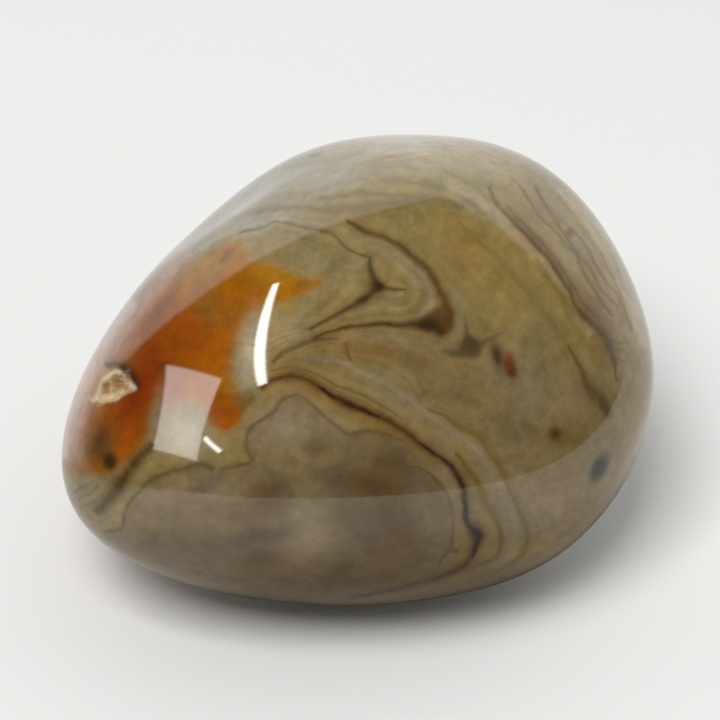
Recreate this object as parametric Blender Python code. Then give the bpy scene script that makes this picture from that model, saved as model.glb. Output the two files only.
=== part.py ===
"""A tumbled and polished agate pebble, lying on the small flat spot under its middle.

One solid: an egg with one end fuller than the other, turned and tipped as it lies, with low
swellings and worn hollows, and a small open pit in its narrow end. Metres, +Z up. The origin is
on the flat spot's level, under the middle of the pebble's box.
"""
from math import atan2, cos, exp, hypot, radians, sin

import bmesh
import bpy
from mathutils import Matrix, Vector

# Driving dimensions of the egg, before it is worn
HALF_LENGTH = 0.0296
HALF_BREADTH = 0.0250
HALF_HEIGHT = 0.0214
FULLNESS = 0.28
TURN = radians(28)
TIP = radians(-10)

# Low swellings (plus) and worn hollows (minus), evenly round a ring that leans back by RING_LEAN
RING_LEAN = radians(40)
WORN_HEIGHTS = (0.0026, 0.0018, -0.0024, -0.0024, -0.0006, 0.0002, 0.0008, 0.0012, 0.0024)
WORN_SPREAD = 0.45

# The small pit in the narrow end, placed by two angles on the egg
PIT_AZIMUTH = radians(174)
PIT_ELEVATION = radians(41)
PIT_HALF_LENGTH = 0.0026
PIT_HALF_WIDTH = 0.0016
PIT_DEPTH = 0.0013
PIT_WALL = 0.55

# The flat spot that the pebble rests on is cut this far above its lowest point
FLAT_CUT = 0.00035

# Facets: the base division, and how often and how far round the pit they are halved
BASE_DIVISIONS = 5
PIT_HALVINGS = 3
PIT_MARGIN = 1.15
SHARP_ANGLE = radians(38)

AGATE_COLOUR = (0.27, 0.20, 0.11, 1.0)
POLISH_ROUGHNESS = 0.06


def clear_scene():
    for old in list(bpy.data.objects):
        bpy.data.objects.remove(old, do_unlink=True)


def direction(azimuth, elevation):
    return Vector((cos(azimuth) * cos(elevation), sin(azimuth) * cos(elevation), sin(elevation)))


def worn_ring():
    """The directions of the swellings and hollows, each with its height."""
    leaning_up = Vector((0.0, sin(RING_LEAN), cos(RING_LEAN)))
    step = radians(360) / len(WORN_HEIGHTS)
    ring = []
    for number, height in enumerate(WORN_HEIGHTS):
        turned = number * step
        ring.append((Vector((cos(turned), 0.0, 0.0)) + sin(turned) * leaning_up, height))
    return ring


LIE = Matrix.Rotation(TURN, 3, "Z") @ Matrix.Rotation(TIP, 3, "Y")
WORN_RING = worn_ring()


def egg_point(unit):
    """The place on the worn egg that answers to a point of the unit sphere."""
    girth = 1.0 + FULLNESS * unit.x
    egg = Vector((HALF_LENGTH * unit.x, HALF_BREADTH * girth * unit.y, HALF_HEIGHT * girth * unit.z))
    place = LIE @ egg
    outward = place.normalized()
    height = 0.0
    for towards, swelling in WORN_RING:
        away = atan2(outward.cross(towards).length, outward.dot(towards))
        height += swelling * exp(-((away / WORN_SPREAD) ** 2))
    return place + height * outward


def pit_frame():
    """The pit's middle on the surface, and its long, cross and outward directions."""
    nudge = radians(0.5)
    middle = egg_point(direction(PIT_AZIMUTH, PIT_ELEVATION))
    east = egg_point(direction(PIT_AZIMUTH + nudge, PIT_ELEVATION)) - middle
    north = egg_point(direction(PIT_AZIMUTH, PIT_ELEVATION + nudge)) - middle
    outward = east.cross(north).normalized()
    lengthwise = Vector((1.0, 0.0, 0.0))
    along = (lengthwise - lengthwise.dot(outward) * outward).normalized()
    return middle, along, outward.cross(along), outward


PIT_MIDDLE, PIT_ALONG, PIT_ACROSS, PIT_OUTWARD = pit_frame()


def pit_reach(place):
    """0 in the pit's middle, 1 on its rim, and more beyond it."""
    offset = place - PIT_MIDDLE
    if offset.dot(PIT_OUTWARD) < -HALF_HEIGHT / 2:
        return float("inf")
    return hypot(offset.dot(PIT_ALONG) / PIT_HALF_LENGTH, offset.dot(PIT_ACROSS) / PIT_HALF_WIDTH)


def pit_sink(place):
    """How deep the pit's floor lies under a place on the egg."""
    slope = min(1.0, max(0.0, (1.0 - pit_reach(place)) / PIT_WALL))
    return PIT_DEPTH * slope * slope * (3.0 - 2.0 * slope)


def halve_edges_round_pit(body):
    """Finer facets in and just round the pit, on the unit sphere."""
    for _ in range(PIT_HALVINGS):
        close = []
        for edge in body.edges:
            middle = (edge.verts[0].co + edge.verts[1].co).normalized()
            if pit_reach(egg_point(middle)) < PIT_MARGIN:
                close.append(edge)
        bmesh.ops.subdivide_edges(body, edges=close, cuts=1, use_grid_fill=True)
        bmesh.ops.triangulate(body, faces=body.faces[:])
        for vertex in body.verts:
            vertex.co.normalize()


def shape_pebble(body):
    for vertex in body.verts:
        place = egg_point(vertex.co)
        vertex.co = place - pit_sink(place) * PIT_OUTWARD


def cut_flat_spot(body):
    """One flat face at the height FLAT_CUT above the lowest point."""
    level = min(vertex.co.z for vertex in body.verts) + FLAT_CUT
    whole = body.verts[:] + body.edges[:] + body.faces[:]
    cut = bmesh.ops.bisect_plane(
        body,
        geom=whole,
        plane_co=(0.0, 0.0, level),
        plane_no=(0.0, 0.0, 1.0),
        clear_inner=True,
    )
    rim = [piece for piece in cut["geom_cut"] if isinstance(piece, bmesh.types.BMEdge)]
    bmesh.ops.contextual_create(body, geom=rim)
    return level


def stand_on_origin(body, level):
    """Moves the flat spot to height 0, and the middle of the box over the origin."""
    middle = []
    for axis in (0, 1):
        places = [vertex.co[axis] for vertex in body.verts]
        middle.append((min(places) + max(places)) / 2)
    shift = Vector((middle[0], middle[1], level))
    for vertex in body.verts:
        vertex.co -= shift
        if abs(vertex.co.z) < FLAT_CUT / 1000:
            vertex.co.z = 0.0


def polished_agate():
    material = bpy.data.materials.new("polished_agate")
    material.use_nodes = True
    shader = material.node_tree.nodes["Principled BSDF"]
    shader.inputs["Base Color"].default_value = AGATE_COLOUR
    shader.inputs["Roughness"].default_value = POLISH_ROUGHNESS
    shader.inputs["Metallic"].default_value = 0.0
    return material


def agate_pebble():
    body = bmesh.new()
    bmesh.ops.create_icosphere(body, subdivisions=BASE_DIVISIONS, radius=1.0)
    halve_edges_round_pit(body)
    shape_pebble(body)
    level = cut_flat_spot(body)
    stand_on_origin(body, level)
    bmesh.ops.recalc_face_normals(body, faces=body.faces[:])
    mesh = bpy.data.meshes.new("agate_pebble")
    body.to_mesh(mesh)
    body.free()
    mesh.shade_smooth()
    mesh.set_sharp_from_angle(angle=SHARP_ANGLE)
    mesh.materials.append(polished_agate())
    pebble = bpy.data.objects.new("agate_pebble", mesh)
    bpy.context.scene.collection.objects.link(pebble)
    return pebble


def main():
    clear_scene()
    agate_pebble()


main()
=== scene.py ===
"""A tumbled and polished agate pebble on a pale table: its surface, its markings and its light.

Metres throughout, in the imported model's frame. The markings are traced on the face that the camera sees,
in the pixels of a frame 720 wide and high, and run on through the stone to the faces behind.
"""
from collections import namedtuple
from math import cos, radians, sin, tau

import bmesh
import bpy
import numpy as np
from mathutils import Matrix, Vector, noise


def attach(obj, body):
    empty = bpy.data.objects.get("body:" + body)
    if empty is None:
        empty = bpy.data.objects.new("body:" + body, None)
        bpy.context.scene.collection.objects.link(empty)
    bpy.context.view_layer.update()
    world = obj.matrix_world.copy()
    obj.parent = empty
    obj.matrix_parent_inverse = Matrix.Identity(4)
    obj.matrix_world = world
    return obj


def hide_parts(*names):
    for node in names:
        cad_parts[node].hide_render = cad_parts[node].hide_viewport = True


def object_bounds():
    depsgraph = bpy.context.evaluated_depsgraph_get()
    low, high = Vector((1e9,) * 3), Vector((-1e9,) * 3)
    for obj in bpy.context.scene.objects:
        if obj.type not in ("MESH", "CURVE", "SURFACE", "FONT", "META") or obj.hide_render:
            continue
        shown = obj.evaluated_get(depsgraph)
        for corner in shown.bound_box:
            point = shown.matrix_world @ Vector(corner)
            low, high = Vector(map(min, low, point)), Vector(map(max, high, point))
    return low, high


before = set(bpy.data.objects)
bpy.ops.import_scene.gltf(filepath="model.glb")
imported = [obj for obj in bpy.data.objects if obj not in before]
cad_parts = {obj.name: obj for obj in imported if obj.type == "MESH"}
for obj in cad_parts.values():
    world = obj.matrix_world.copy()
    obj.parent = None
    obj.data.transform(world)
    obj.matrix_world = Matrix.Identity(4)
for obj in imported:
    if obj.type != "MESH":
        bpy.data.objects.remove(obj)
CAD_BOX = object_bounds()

# The noise that roughens the pit and lets the markings wander is the same at every run
NOISE_SEED = 3
noise.seed_set(NOISE_SEED)

# The camera: how far it looks down, how far off it stands, and what it is aimed at
LOOKING_DOWN = radians(40)
CAMERA_AWAY = 0.400
CAMERA_AIM = Vector((0.000108, -0.001465, 0.02223))
LENS = 195.55
SENSOR = 36.0
FRAME_WIDTH = 720
CLIPPED = (0.01, 20.0)

# The egg that the pebble was worn from, as in the model
HALF_LENGTH = 0.0296
HALF_BREADTH = 0.0250
HALF_HEIGHT = 0.0214
FULLNESS = 0.28
TURN = radians(28)
TIP = radians(-10)
RING_LEAN = radians(40)
WORN_HEIGHTS = (0.0026, 0.0018, -0.0024, -0.0024, -0.0006, 0.0002, 0.0008, 0.0012, 0.0024)
WORN_SPREAD = 0.45
FLAT_CUT = 0.00035

# The small open pit in the narrow end
PIT_AZIMUTH = radians(174)
PIT_ELEVATION = radians(41)
PIT_HALF_LENGTH = 0.0026
PIT_HALF_WIDTH = 0.0016
PIT_DEPTH = 0.0013
PIT_WALL = 0.55

# Its rough walls: where the roughness ends and how far it fades, as pit_reach counts, and its grains
PIT_ROUGH_END = 1.2
PIT_ROUGH_FADE = 0.4
PIT_GRAINS = ((0.00035, 900.0), (0.00012, 3000.0))

# Facets: the base division, how squarely halved ones face the camera, and the pit's finer ones
BASE_DIVISIONS = 7
FACE_IN_SIGHT = 0.28
PIT_HALVINGS = 2
PIT_MARGIN = 1.25


def unit_rows(rows):
    return rows / np.linalg.norm(rows, axis=1)[:, None]


def direction(azimuth, elevation):
    return np.array((cos(azimuth) * cos(elevation), sin(azimuth) * cos(elevation), sin(elevation)))


def soft_step(share):
    share = np.clip(share, 0.0, 1.0)
    return share * share * (3.0 - 2.0 * share)


# The camera and what it sees

FORWARD = np.array((0.0, cos(LOOKING_DOWN), -sin(LOOKING_DOWN)))
UPWARD = np.array((0.0, sin(LOOKING_DOWN), cos(LOOKING_DOWN)))
RIGHTWARD = np.array((1.0, 0.0, 0.0))
CAMERA_PLACE = np.array(CAMERA_AIM) - CAMERA_AWAY * FORWARD
PIXELS_PER_SLOPE = LENS / SENSOR * FRAME_WIDTH


def new_object(name, data):
    thing = bpy.data.objects.new(name, data)
    bpy.context.scene.collection.objects.link(thing)
    return thing


def new_aimed(name, data, place, towards):
    thing = new_object(name, data)
    thing.location = place
    thing.rotation_mode = "QUATERNION"
    thing.rotation_quaternion = Vector(towards).to_track_quat("-Z", "Y")
    return thing


def set_up_camera():
    data = bpy.data.cameras.new("camera")
    data.lens = LENS
    data.sensor_width = SENSOR
    data.clip_start, data.clip_end = CLIPPED
    bpy.context.scene.camera = new_aimed("camera", data, CAMERA_PLACE, FORWARD)


def seen_at(places):
    """Where in the frame the camera sees each place, in pixels from the top left corner."""
    rays = places - CAMERA_PLACE
    slopes = np.stack((rays @ RIGHTWARD, -rays @ UPWARD), axis=1) / (rays @ FORWARD)[:, None]
    return FRAME_WIDTH / 2 + PIXELS_PER_SLOPE * slopes


# The pebble's form

LIE = np.array(Matrix.Rotation(TURN, 3, "Z") @ Matrix.Rotation(TIP, 3, "Y"))


def egg_places(units):
    """The places on the worn egg that answer to points of the unit sphere."""
    egg = units * (HALF_LENGTH, HALF_BREADTH, HALF_HEIGHT)
    egg[:, 1:] *= 1.0 + FULLNESS * units[:, :1]
    places = egg @ LIE.T
    outward = unit_rows(places)
    leaning_up = np.array((0.0, sin(RING_LEAN), cos(RING_LEAN)))
    height = np.zeros(len(places))
    for number, swelling in enumerate(WORN_HEIGHTS):
        turned = number * tau / len(WORN_HEIGHTS)
        towards = np.array((cos(turned), 0.0, 0.0)) + sin(turned) * leaning_up
        away = np.arccos(np.clip(outward @ towards, -1.0, 1.0))
        height += swelling * np.exp(-((away / WORN_SPREAD) ** 2))
    return places + height[:, None] * outward


def egg_place(azimuth, elevation):
    return egg_places(direction(azimuth, elevation)[None, :])[0]


def pit_frame():
    """The pit's middle on the egg, and its long, cross and outward directions."""
    nudge = radians(0.5)
    middle = egg_place(PIT_AZIMUTH, PIT_ELEVATION)
    east = egg_place(PIT_AZIMUTH + nudge, PIT_ELEVATION) - middle
    north = egg_place(PIT_AZIMUTH, PIT_ELEVATION + nudge) - middle
    outward = np.cross(east, north)
    outward /= np.linalg.norm(outward)
    along = RIGHTWARD - (RIGHTWARD @ outward) * outward
    along /= np.linalg.norm(along)
    return middle, along, np.cross(outward, along), outward


PIT_MIDDLE, PIT_ALONG, PIT_ACROSS, PIT_OUTWARD = pit_frame()


def pit_reach(places):
    """0 in the pit's middle, 1 on its rim, and more beyond it."""
    offsets = places - PIT_MIDDLE
    reach = np.hypot(offsets @ PIT_ALONG / PIT_HALF_LENGTH, offsets @ PIT_ACROSS / PIT_HALF_WIDTH)
    reach[offsets @ PIT_OUTWARD < -HALF_HEIGHT / 2] = np.inf
    return reach


def rows_of(points, field):
    rows = np.zeros(len(points) * 3)
    points.foreach_get(field, rows)
    return rows.reshape(-1, 3)


def halve_edges(body, wanted):
    """Halves the edges whose middles are wanted, and keeps the points on the unit sphere."""
    body.edges.ensure_lookup_table()
    middles = unit_rows(np.array([edge.verts[0].co + edge.verts[1].co for edge in body.edges]))
    chosen = np.nonzero(wanted(middles))[0]
    edges = [body.edges[int(number)] for number in chosen]
    bmesh.ops.subdivide_edges(body, edges=edges, cuts=1, use_grid_fill=True)
    bmesh.ops.triangulate(body, faces=body.faces[:])
    for vertex in body.verts:
        vertex.co.normalize()


# Two steps across the surface give its slope: how long they are, and a direction that sets the way of one
SLOPE_STEP = 0.002
ANY_DIRECTION = (0.31, 0.52, 0.79)


def faces_camera(units):
    """How squarely the egg faces the camera at points of the unit sphere, from -1 to 1."""
    places = egg_places(units)
    side = SLOPE_STEP * unit_rows(np.cross(units, ANY_DIRECTION))
    other = np.cross(units, side)
    one_way = egg_places(unit_rows(units + side)) - egg_places(unit_rows(units - side))
    other_way = egg_places(unit_rows(units + other)) - egg_places(unit_rows(units - other))
    outward = unit_rows(np.cross(one_way, other_way))
    outward *= np.sign(np.sum(outward * units, axis=1))[:, None]
    towards_camera = unit_rows(CAMERA_PLACE - (places + EGG_MIDDLE))
    return np.sum(outward * towards_camera, axis=1)


def ball():
    body = bmesh.new()
    bmesh.ops.create_icosphere(body, subdivisions=BASE_DIVISIONS, radius=1.0)
    return body


def ball_of_facets():
    """A ball with finer facets where the camera sees it, and finer ones yet in and round the pit."""
    body = ball()
    halve_edges(body, lambda middles: faces_camera(middles) > FACE_IN_SIGHT)
    for _ in range(PIT_HALVINGS):
        halve_edges(body, lambda middles: pit_reach(egg_places(middles)) < PIT_MARGIN)
    return body


def middle_of_egg():
    """Where the egg's middle stands once the pebble lies on its flat spot, its box over the origin."""
    low, high = CAD_BOX
    body = ball()
    places = egg_places(unit_rows(np.array([vertex.co for vertex in body.verts])))
    body.free()
    across = (np.array(low) + np.array(high)) / 2 - (places.min(axis=0) + places.max(axis=0)) / 2
    return np.array((across[0], across[1], -places[:, 2].min() - FLAT_CUT))


EGG_MIDDLE = middle_of_egg()


def pit_sink(places):
    return PIT_DEPTH * soft_step((1.0 - pit_reach(places)) / PIT_WALL)


def noise_rows(places, per_metre):
    return np.array([noise.noise_vector(Vector(place) * per_metre) for place in places])


def pebble_mesh():
    body = ball_of_facets()
    mesh = bpy.data.meshes.new("agate_stone")
    body.to_mesh(mesh)
    body.free()
    units = unit_rows(rows_of(mesh.vertices, "co"))
    places = egg_places(units)
    places -= pit_sink(places)[:, None] * PIT_OUTWARD
    grain = np.clip((PIT_ROUGH_END - pit_reach(places)) / PIT_ROUGH_FADE, 0.0, 1.0)
    rough = grain > 0.0
    for reach, per_metre in PIT_GRAINS:
        places[rough] += (reach * grain[rough])[:, None] * noise_rows(places[rough], per_metre)
    places += EGG_MIDDLE
    places[:, 2] = np.maximum(places[:, 2], 0.0)
    mesh.vertices.foreach_set("co", places.ravel())
    mesh.update()
    mesh.shade_smooth()
    return mesh, places


# The markings

Wash = namedtuple("Wash", "tone strength middle reach turn", defaults=(0,))
Spot = namedtuple("Spot", "tone strength middle reach turn", defaults=(0,))
Area = namedtuple("Area", "tone strength outline softness")
Ribbon = namedtuple("Ribbon", "tone strength route widths")

# Tones of the stone, as they show in plain daylight, from 0 to 255, and two for the painted sheen along its
# left rim
TONES = {
    "sand": (124, 107, 64),
    "fawn": (108, 92, 57),
    "buff": (130, 116, 78),
    "dune": (134, 122, 78),
    "cloud": (155, 150, 129),
    "chalk": (178, 169, 143),
    "clay": (158, 144, 108),
    "straw": (126, 106, 54),
    "ochre": (117, 90, 38),
    "olive": (96, 78, 30),
    "gold": (96, 74, 16),
    "taupe": (113, 97, 65),
    "lilac": (130, 115, 89),
    "ash": (120, 107, 80),
    "slate": (74, 62, 42),
    "umber": (74, 53, 24),
    "bark": (44, 31, 14),
    "soot": (22, 17, 10),
    "honey": (142, 110, 22),
    "amber": (143, 88, 1),
    "copper": (137, 64, 0),
    "rust": (112, 36, 0),
    "brick": (92, 28, 6),
    "chestnut": (96, 62, 16),
    "russet": (100, 54, 20),
    "rose_sheen": (156, 122, 104),
    "petal_sheen": (192, 166, 150),
    "tan": (158, 128, 90),
    "cream": (194, 178, 142),
}

# Lines that bound or follow the bands, each along its middle
LOBES_RIM_LEFT = (
    (105, 532), (122, 528), (125, 512), (130, 502), (143, 487), (152, 480), (162, 475), (180, 470),
    (198, 465), (213, 469),
)
LOBES_RIM_MIDDLE = (
    (222, 470), (240, 465), (251, 463), (252, 458), (247, 449), (247, 437), (252, 427), (258, 421),
    (274, 412), (281, 401), (295, 395), (307, 400), (320, 413), (337, 426), (348, 434), (363, 431),
    (383, 434), (402, 440),
)
LOBES_RIM_RIGHT = (
    (412, 466), (428, 472), (438, 481), (446, 491), (451, 503), (454, 520), (453, 536), (448, 552),
    (432, 572),
)
DARK_BAND = (
    (262, 388), (272, 380), (283, 377), (297, 377), (308, 381), (320, 388), (335, 396), (350, 404),
    (380, 417), (404, 430), (416, 440), (430, 450), (447, 462), (457, 475), (463, 486), (465, 500),
    (467, 520), (478, 534), (476, 547), (466, 563), (445, 575), (400, 588), (350, 597),
)
DARK_BAND_TOP = ((318, 387), (335, 397), (350, 405), (363, 411), (378, 417))
DARK_BAND_TURN = (
    (420, 443), (430, 451), (447, 463), (456, 475), (462, 486), (465, 500), (467, 520), (473, 530),
    (480, 535), (477, 543), (472, 556),
)
BAND_EDGE_UPPER = ((270, 371), (287, 367), (313, 373), (340, 387), (370, 398), (397, 415))
BAND_EDGE_OUTER = (
    (427, 408), (446, 417), (465, 429), (481, 438), (488, 451), (498, 464), (506, 478), (511, 492),
    (519, 507), (525, 522), (528, 537), (526, 549), (516, 561), (498, 571), (470, 581), (436, 590),
    (400, 597),
)
BAND_EDGE_INNER = (
    (456, 453), (467, 468), (476, 481), (482, 494), (487, 506), (495, 517), (500, 530), (501, 544),
    (497, 555), (486, 562), (466, 570),
)
PALE_BAND = (
    (300, 357), (340, 363), (373, 378), (406, 398), (440, 425), (473, 448), (495, 480), (507, 507),
    (513, 525), (510, 553), (495, 567),
)
FAN_LINE = ((272, 362), (284, 353), (297, 346), (309, 342), (322, 339), (338, 338))
FAN_PALE = ((318, 341), (353, 337), (387, 338), (420, 343), (440, 349))
FAN_MARK = ((346, 343), (347, 352), (351, 361))
HAIR_LINE = (
    (240, 233), (260, 228), (278, 222), (300, 227), (323, 231), (335, 236), (343, 245), (352, 251),
    (366, 257),
)
HOOK_UPPER = (
    (347, 220), (363, 231), (380, 236), (400, 246), (412, 256), (424, 266), (434, 278), (441, 292),
    (448, 306), (450, 318), (445, 331),
)
HOOK_LOWER = (
    (442, 334), (430, 326), (403, 325), (380, 324), (360, 326), (345, 328), (330, 331), (314, 338),
)
FORK_UP = ((370, 257), (371, 270), (376, 284))
FORK_RIGHT = ((378, 286), (392, 289), (406, 290))
FORK_LEFT = ((380, 285), (366, 297), (352, 306), (343, 311), (330, 318), (310, 329))
FORK_SHADE = ((301, 320), (321, 307), (338, 291))
STREAK_RIGHT = (
    (460, 223), (480, 242), (500, 262), (527, 292), (553, 325), (573, 355), (587, 380), (603, 403),
    (607, 415),
)
RIM_LINE_FIRST = (
    (489, 187), (494, 200), (506, 214), (516, 226), (530, 238), (538, 248), (548, 258), (556, 270),
    (562, 280), (570, 294), (577, 308), (588, 320), (598, 330), (607, 342), (613, 358), (617, 380),
)
RIM_LINE_SHORT = (
    (517, 218), (530, 230), (540, 240), (550, 252), (564, 270), (573, 286), (584, 304), (598, 318),
)
RIM_LINE_SECOND = (
    (512, 178), (520, 186), (528, 200), (540, 218), (558, 234), (566, 246), (576, 256), (584, 274),
    (594, 290), (601, 303), (612, 315),
)
RIM_LINE_THIRD = (
    (534, 186), (542, 198), (550, 214), (562, 230), (578, 254), (590, 270), (601, 290), (618, 307),
)
RIM_LINE_FOURTH = ((536, 190), (548, 208), (560, 222))
RIM_LINE_FIFTH = ((574, 232), (586, 246), (594, 262), (601, 275), (611, 287), (620, 300), (632, 330))
RIM_LINE_SIXTH = ((556, 196), (574, 216), (594, 243), (612, 276), (628, 312))
RIM_PALE = (
    (452, 190), (478, 205), (500, 219), (523, 242), (547, 267), (567, 292), (578, 317), (590, 334),
)
TOP_LINE_LOWER = (
    (234, 218), (250, 212), (275, 209), (300, 208), (325, 210), (350, 209), (375, 206), (395, 203),
    (425, 198),
)
TOP_LINE_MIDDLE = ((318, 199), (340, 196), (360, 193), (390, 195), (420, 196), (445, 200), (462, 208))
TOP_LINE_UPPER = ((283, 168), (305, 164), (325, 161), (345, 157), (365, 150))
TOP_LINE_LEFT = ((236, 216), (226, 221), (214, 231), (203, 240), (190, 252))
CREST_LINE = ((380, 180), (410, 182), (440, 188), (464, 198), (484, 214))
CREST_FINE = ((440, 170), (462, 180), (482, 192), (494, 212))
SHELF_BAND = ((153, 444), (138, 460), (123, 480), (110, 498), (96, 512))
SHELF_FINE = ((78, 500), (88, 494), (99, 486))
SHELF_FINEST = ((80, 507), (92, 503), (104, 495))
SHELF_FINER = ((74, 492), (84, 487), (94, 481))
BASE_BAND = ((560, 556), (545, 566), (520, 574), (495, 582), (465, 591), (430, 599), (390, 605))

# Outlines of whole patches, and the routes of washed stripes
AMBER_FIELD = (
    (319, 282), (300, 278), (284, 271), (272, 266), (256, 264), (247, 257), (238, 243), (222, 248),
    (204, 254), (184, 267), (164, 286), (142, 312), (124, 338), (106, 362), (92, 392), (82, 420),
    (74, 448), (68, 470), (84, 474), (104, 474), (118, 466), (134, 456), (146, 440), (152, 420),
    (160, 404), (176, 398), (196, 402), (208, 412), (216, 428), (228, 431), (240, 421), (248, 408),
    (250, 398), (240, 387), (233, 370), (234, 348), (240, 328), (254, 312), (274, 304), (292, 298),
    (308, 290),
)
AMBER_TIP = ((266, 284), (288, 285), (305, 284), (318, 282))
LOBES_FLOOR = ((440, 600), (400, 650), (200, 650), (60, 570))
RED_CORNER = (
    (213, 396), (222, 392), (235, 395), (246, 402), (242, 414), (232, 428), (224, 430), (212, 424),
    (207, 414),
)
DARK_WEDGE = ((238, 390), (256, 392), (252, 402), (242, 414), (236, 404))
SMEAR = (
    (466, 322), (470, 333), (478, 340), (490, 338), (503, 333), (487, 343), (482, 352), (476, 358),
    (458, 357), (441, 351), (456, 350), (463, 338),
)
HOOK_CORNER = (
    (418, 324), (427, 313), (436, 307), (445, 303), (453, 314), (452, 324), (448, 331), (442, 338),
    (434, 334), (424, 330),
)
# Painted sheen: pale stripes along the left silhouette, where the grazing rim mirrors bright light
LEFT_RIM_SHEEN = ((72, 458), (79, 425), (90, 392), (107, 354), (125, 326), (145, 300), (167, 276), (190, 254))
LEFT_EDGE_SHEEN = ((62, 455), (67, 425), (77, 393), (94, 357), (113, 328), (132, 303))
SHELF_GAP = ((150, 462), (140, 476), (128, 490), (118, 508), (108, 524))
BETWEEN_RIMS = (
    (262, 405), (285, 389), (307, 391), (338, 410), (370, 425), (402, 436), (440, 464), (455, 488),
    (458, 520), (462, 548), (452, 566),
)
BELOW_WEDGE = ((262, 406), (246, 420), (232, 436))
HOOK_INSIDE = ((392, 256), (412, 268), (426, 286), (430, 302), (420, 314))
HOOK_HALO = ((454, 288), (461, 310), (459, 330), (448, 345))
RIM_GOLD = (
    (508, 208), (520, 222), (536, 238), (550, 256), (562, 272), (574, 290), (590, 308), (602, 326),
    (609, 345), (613, 365),
)
RIM_OUTER = ((560, 190), (580, 208), (600, 236), (618, 268), (632, 304), (642, 345))
STREAK_LOWER = ((568, 344), (574, 357), (581, 370), (588, 386), (598, 398), (606, 409), (610, 418))
RIM_PALE_EDGE = ((536, 258), (550, 278), (558, 290), (568, 304), (584, 320))
RIM_TICKS = (
    ((604, 334), (612, 341), (623, 343)),
    ((607, 344), (615, 349), (624, 350)),
    ((610, 356), (617, 361), (626, 361)),
)
PIT_CRUST = (
    (99, 378), (108, 371), (118, 370), (127, 377), (136, 388), (127, 394), (116, 400), (103, 403),
    (91, 400), (95, 389),
)
PIT_BROW = ((103, 380), (111, 374), (119, 373), (127, 380), (134, 388))
PIT_LIP = ((92, 400), (101, 398), (112, 398), (124, 391))
PIT_CHEEK = ((103, 381), (100, 388), (96, 396))
PIT_FOLD = ((110, 380), (112, 388), (112, 396))
PIT_SHADE = ((108, 366), (117, 365), (127, 371), (134, 379), (137, 387))
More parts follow.
